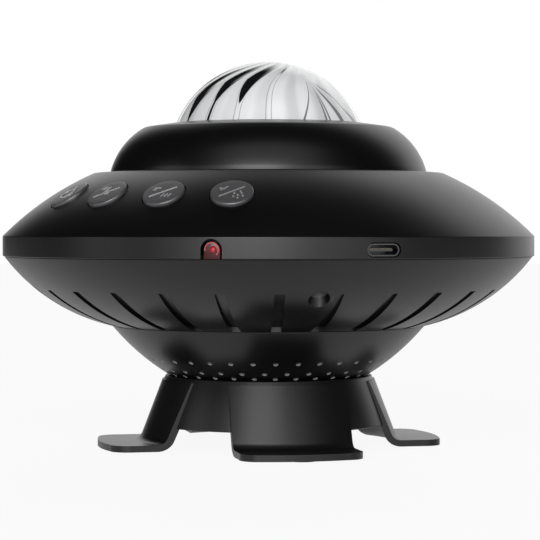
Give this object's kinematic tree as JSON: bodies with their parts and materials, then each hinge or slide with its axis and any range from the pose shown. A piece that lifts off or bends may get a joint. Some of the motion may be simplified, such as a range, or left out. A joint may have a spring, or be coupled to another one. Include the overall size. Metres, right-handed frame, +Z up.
{
  "type": "star night light projector",
  "caption": "Saucer-shaped star and ripple light projector with a clear ribbed dome, push buttons, a speaker in a perforated bowl and a four-legged stand.",
  "frame": {"origin": "on the floor under the dome's axis", "axes": "+Z up along the dome's axis, -Y towards the front with the infrared window and the socket"},
  "size_m": [0.15, 0.15, 0.1088],
  "materials": {
    "black_shell": "satin moulded black",
    "black_stand": "satin moulded black",
    "clear_dome": "clear moulded plastic",
    "key_grey": "fine matt",
    "white_plastic": "moulded",
    "dark_plastic": "moulded",
    "red_lens": "translucent red",
    "circuit_green": "solder mask",
    "bare_aluminium": "machined",
    "bright_steel": "bright",
    "zinc_screw": "zinc plated",
    "brass_barrel": "turned",
    "clear_optic": "clear moulded plastic",
    "led_white": "LED package",
    "amber_film": "polyimide film",
    "paper_cone": "pressed paper",
    "black_ferrite": "ferrite",
    "soft_pad": "soft rubber"
  },
  "bodies": {
    "housing": {"upper_shell": "black_shell", "lower_shell": "black_shell", "collar_ring": "black_shell", "dome": "clear_dome", "speaker_bowl": "black_shell", "stand": "black_stand", "foot_pads": "soft_pad", "ir_window": "red_lens", "usb_socket": "bright_steel", "shell_screws": "zinc_screw", "stand_screws": "zinc_screw", "ir_receiver": "dark_plastic", "port_board": "circuit_green", "main_board": "circuit_green", "chassis": "white_plastic", "heat_sink": "bare_aluminium", "led_board": "circuit_green", "leds": "led_white", "led_lens": "clear_optic", "wheel_post": "white_plastic", "motor": "bright_steel", "laser_module": "brass_barrel", "grating_cap": "dark_plastic", "star_grating": "clear_optic", "speaker_frame": "dark_plastic", "speaker_magnet": "black_ferrite", "speaker_gasket": "soft_pad", "tact_switches": "dark_plastic", "key_strip": "amber_film", "collar_screws": "zinc_screw", "chassis_screws": "zinc_screw", "motor_screws": "zinc_screw", "bowl_screws": "zinc_screw", "speaker_screws": "zinc_screw", "board_screws": "zinc_screw", "port_screws": "zinc_screw"},
    "volume_key": {"volume_button": "key_grey", "volume_plunger": "dark_plastic"},
    "music_key": {"music_button": "key_grey", "music_plunger": "dark_plastic"},
    "mode_key": {"mode_button": "key_grey", "mode_plunger": "dark_plastic"},
    "power_key": {"power_button": "key_grey", "power_plunger": "dark_plastic"},
    "wheel": {"ripple_wheel": "clear_optic"},
    "drive": {"motor_pinion": "white_plastic", "motor_shaft": "bright_steel"},
    "cone": {"speaker_cone": "paper_cone"}
  },
  "joints": [
    {"name": "volume_press", "type": "slide", "parent": "housing", "child": "volume_key", "axis": [0.0832, 0.5439, -0.835], "range_m": [0, 0.0005], "stiffness_N_per_m": 400, "springref_m": -0.0003},
    {"name": "music_press", "type": "slide", "parent": "housing", "child": "music_key", "axis": [0.2421, 0.4941, -0.835], "range_m": [0, 0.0005], "stiffness_N_per_m": 400, "springref_m": -0.0003},
    {"name": "mode_press", "type": "slide", "parent": "housing", "child": "mode_key", "axis": [0.3787, 0.3991, -0.835], "range_m": [0, 0.0005], "stiffness_N_per_m": 400, "springref_m": -0.0003},
    {"name": "power_press", "type": "slide", "parent": "housing", "child": "power_key", "axis": [0.4808, 0.2676, -0.835], "range_m": [0, 0.0005], "stiffness_N_per_m": 400, "springref_m": -0.0003},
    {"name": "wheel_spin", "type": "hinge", "parent": "housing", "child": "wheel", "pos_m": [0, 0, 0.0735], "axis": [0, 0, 1], "continuous": true},
    {"name": "drive_spin", "type": "hinge", "parent": "housing", "child": "drive", "pos_m": [0.02475, 0, 0.073], "axis": [0, 0, 1], "continuous": true},
    {"name": "cone_throw", "type": "slide", "parent": "housing", "child": "cone", "axis": [0, 0, 1], "range_m": [-0.0004, 0.0004], "stiffness_N_per_m": 1500}
  ],
  "couplings": [
    {"joint": "drive_spin", "follows": "wheel_spin", "ratio": -5.8333}
  ]
}
